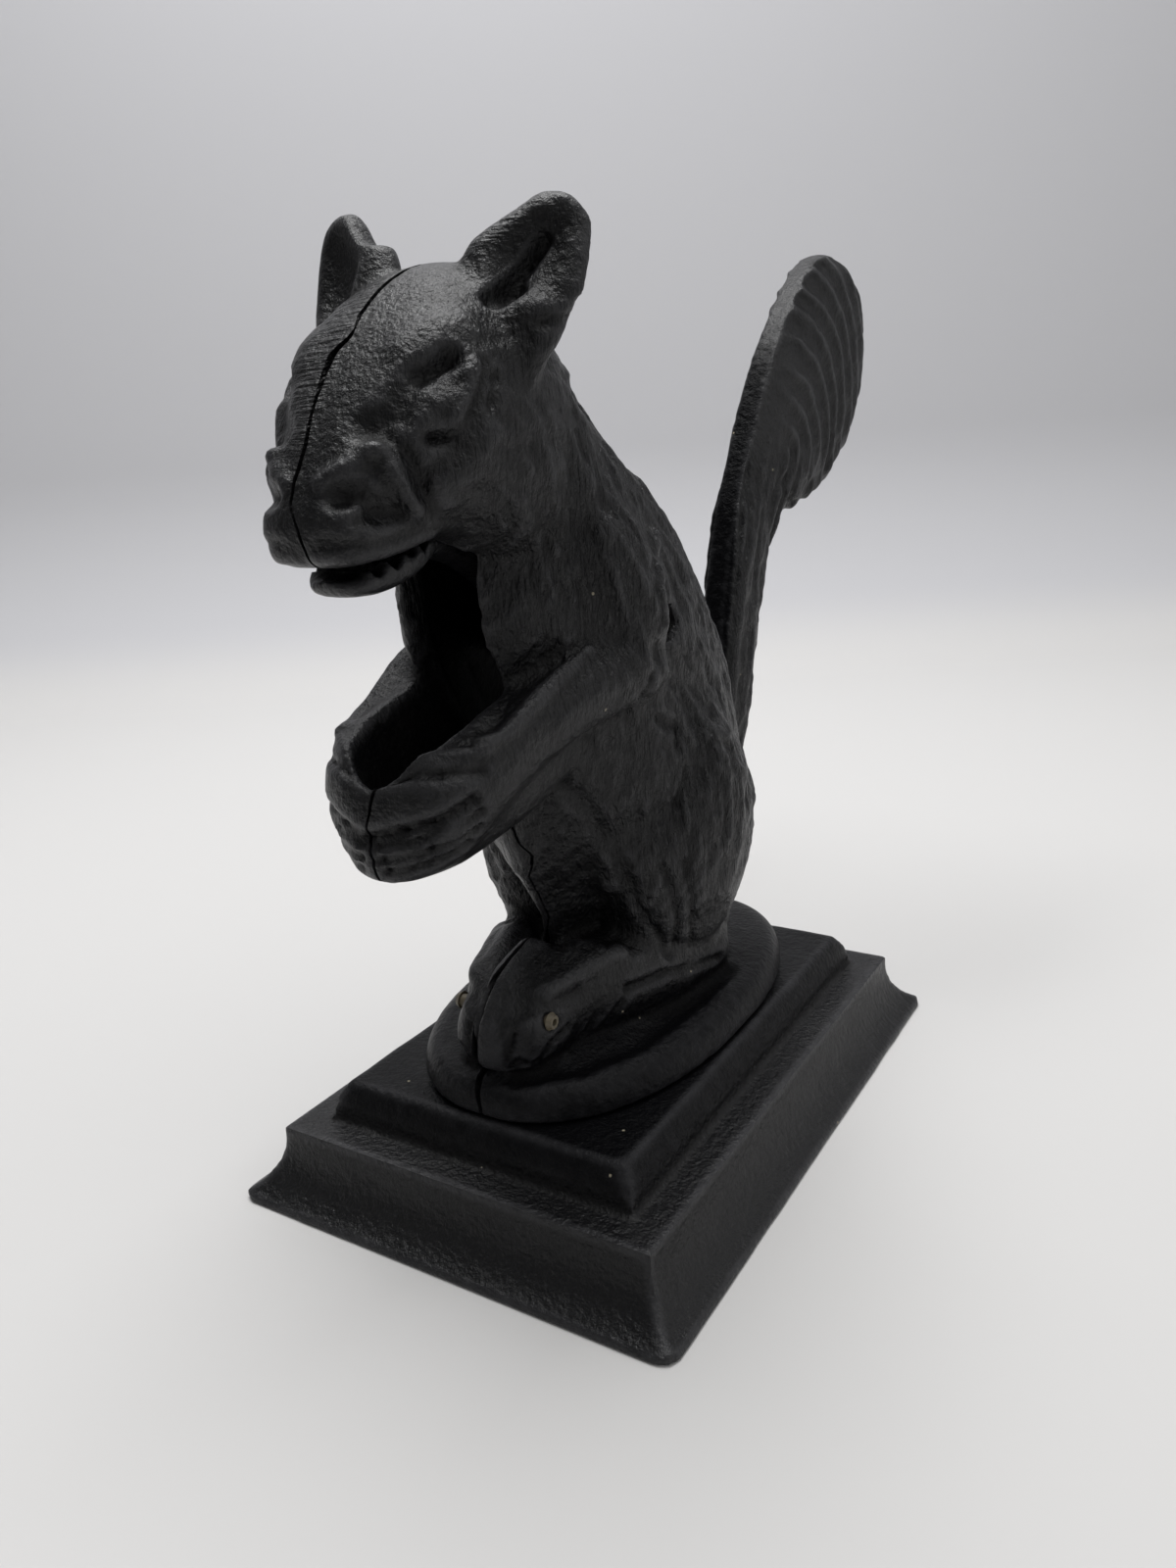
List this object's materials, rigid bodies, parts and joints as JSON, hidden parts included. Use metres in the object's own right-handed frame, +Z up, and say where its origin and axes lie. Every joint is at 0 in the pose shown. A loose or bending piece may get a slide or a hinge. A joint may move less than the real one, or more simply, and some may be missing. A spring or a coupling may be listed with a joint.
{
  "type": "lever nutcracker",
  "caption": "Cast-iron squirrel nutcracker: lifting the tail lever opens a toothed lower jaw over cupped paws; hollow halves stand on a stepped base.",
  "frame": {"origin": "on the floor, at the bottom centre of the whole part's box, halfway between the nose and the back of the tail", "axes": "+Z up, -Y the way the figure looks, +X towards its left half; the seam between the halves is the plane X = 0"},
  "size_m": [0.1, 0.241, 0.1908],
  "materials": {
    "black_iron": "satin black paint over sand-cast iron, worn at the edges",
    "steel": "dull steel"
  },
  "bodies": {
    "stand": {"left_half": "black_iron", "right_half": "black_iron", "base": "black_iron", "pivot_pin": "steel", "head_dowel": "steel", "haunch_dowel": "steel", "foot_rivet": "steel", "front_left_screw": "steel", "front_right_screw": "steel", "rear_left_screw": "steel", "rear_right_screw": "steel", "front_left_washer": "steel", "front_right_washer": "steel", "rear_left_washer": "steel", "rear_right_washer": "steel"},
    "lever": {"tail_lever": "black_iron"}
  },
  "joints": [
    {"name": "tail_hinge", "type": "hinge", "parent": "stand", "child": "lever", "pos_m": [0, -0.0485, 0.1118], "axis": [1, 0, 0], "range_deg": [0, 23]}
  ]
}
